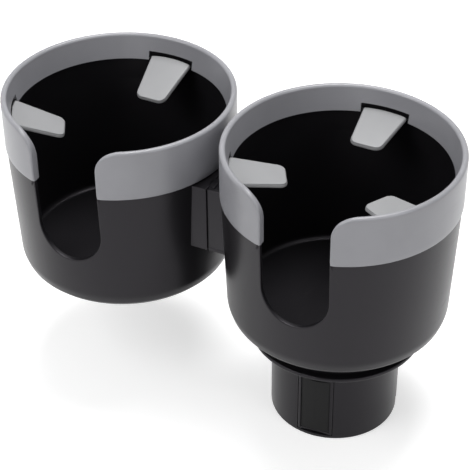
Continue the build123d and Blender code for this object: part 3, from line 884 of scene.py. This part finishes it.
# The spring is a helix about the hinge: x and z are the radius times the cosine and sine of its turn
winding = np.linspace(0, 2 * math.pi * coil_turns, 24 * coil_turns + 1) - math.pi / 2
reach = np.linspace(-coil_half_length, coil_half_length, len(winding))
coil = np.stack([coil_radius * np.cos(winding), reach, coil_radius * np.sin(winding)], 1)
leg = np.linspace(leg_length, 0.1, 5)[:, None] * np.array([[1.0, 0, 0]])
coil = np.concatenate([coil[:1] - leg, coil, coil[-1:] + leg[::-1]])

flap_plastic = moulded("light_grey_moulding", (0.278, 0.28, 0.287), 0.42, 0.3, 0.008, specular=0.45)
# The hinge pins' steel is painted near black: painted shade, so that the pins stay as dark as the shaded gap
# beside each flap's root and catch no highlights.
pin_steel_painted_dark = moulded("pin_steel_painted_dark", (0.02, 0.02, 0.022), 0.45, 0.4, 0.004, metallic=1.0)
for cup, cup_x in (("main", 0), ("side", -cup_spacing)):
    for place, azimuth in flap_azimuths.items():
        origin, *axes = flap_place(cup_x, azimuth, droops[cup])
        axes = np.stack(axes)
        plates = [skin(origin + grid @ axes, along=True, caps="rows") for grid in flap_plates]
        flap = f"{cup}_flap_{place}"
        piece(f"{flap}_plate", plates, flap_plastic, flap, [flap])
        spring = f"{cup}_flap_spring_{place}"
        spring_skin = wire(origin + coil @ axes, axes[1], wire_radius)
        piece(f"{spring}_wire", [spring_skin], steel, f"{cup}_cup", [spring])
        dress([f"{cup}_hinge_pin_{place}"], pin_steel_painted_dark)

# Floor
# A plain sheet of pale card, in metres. It glows for the camera and in reflections, so that it is white there
# and keeps the object's soft shadow.
floor_half = 3
card_white = 0.5
floor_corners = [(-floor_half, -floor_half, 0), (floor_half, -floor_half, 0)]
floor_corners += [(floor_half, floor_half, 0), (-floor_half, floor_half, 0)]
floor_mesh = bpy.data.meshes.new("floor")
floor_mesh.from_pydata(floor_corners, [], [(0, 1, 2, 3)])
floor = bpy.data.objects.new("floor", floor_mesh)
scene.collection.objects.link(floor)
floor_material, floor_shader, floor_place = new_material("pale_card")
feed(floor_shader, "Base Color", (0.8, 0.8, 0.8, 1))
feed(floor_shader, "Roughness", 0.9)
feed(floor_shader, "Specular IOR Level", 0.1)


def seen_or_mirrored(tree):
    """1 for rays from the camera, from glossy surfaces and through clear ones; 0 for rays of soft light."""
    path = tree.nodes.new("ShaderNodeLightPath").outputs
    rays = [Shade(tree, path[f"Is {kind} Ray"]) for kind in ("Camera", "Glossy", "Transmission")]
    either = rays[0] + rays[1] + rays[2]
    return either.math("MINIMUM", either, 1.0)


floor_tree = floor_place.tree
card_strength = card_white * seen_or_mirrored(floor_tree)
card_glow = floor_place.node("ShaderNodeEmission", Color=(1, 1, 1, 1), Strength=card_strength)
card = floor_place.node("ShaderNodeAddShader", _0=Shade(floor_tree, floor_shader.outputs[0]), _1=card_glow)
floor_tree.links.new(card.socket, floor_tree.nodes["Material Output"].inputs["Surface"])
floor_mesh.materials.append(floor_material)

# Light
# Three soft boxes, placed in metres: one in front on the left, a stronger one overhead towards the back,
# and a weak one on the right. A pale room lights the shadows, and the camera sees it white.
room_light = 0.37
lamp_target = (-0.05, 0, 0.08)
world = bpy.data.worlds.new("studio")
scene.world = world
world.use_nodes = True
background = world.node_tree.nodes["Background"]
room = seen_or_mirrored(world.node_tree)
feed(background, "Color", (1, 1, 1, 1))
feed(background, "Strength", room_light + (1 - room_light) * room)


def soft_box(name, place, size, power):
    """Rectangular area lamp that looks from a place at the object, in metres and watts."""
    lamp = bpy.data.lights.new(name, "AREA")
    lamp.shape = "RECTANGLE"
    lamp.size, lamp.size_y = size
    lamp.energy = power
    thing = bpy.data.objects.new(name, lamp)
    scene.collection.objects.link(thing)
    back = np.array(place) - np.array(lamp_target)
    tilt = math.acos(back[2] / np.linalg.norm(back))
    thing.location = place
    thing.rotation_euler = (tilt, 0, math.atan2(back[1], back[0]) + math.pi / 2)


soft_box("key", (-0.6, -0.8, 1.0), (0.7, 0.7), 6.2)
soft_box("overhead", (-0.1, 0.28, 1.28), (0.65, 0.5), 12.5)
soft_box("fill", (1.1, -0.4, 0.7), (0.5, 0.9), 2.8)

# Camera
# The place, in metres, and the lens that give the photograph's view of both rims and the foot.
view_azimuth = math.radians(25.37)
view_elevation = math.radians(36.82)
camera_data = bpy.data.cameras.new("camera")
camera_data.sensor_width = 36
camera_data.lens = 117.08
camera_data.shift_x = -0.0438
camera_data.shift_y = 0.0113
camera = bpy.data.objects.new("camera", camera_data)
scene.collection.objects.link(camera)
camera.location = (0.2101, -0.5351, 0.5276)
camera.rotation_euler = (math.pi / 2 - view_elevation, 0, view_azimuth)
scene.camera = camera
scene.view_settings.view_transform = "Standard"
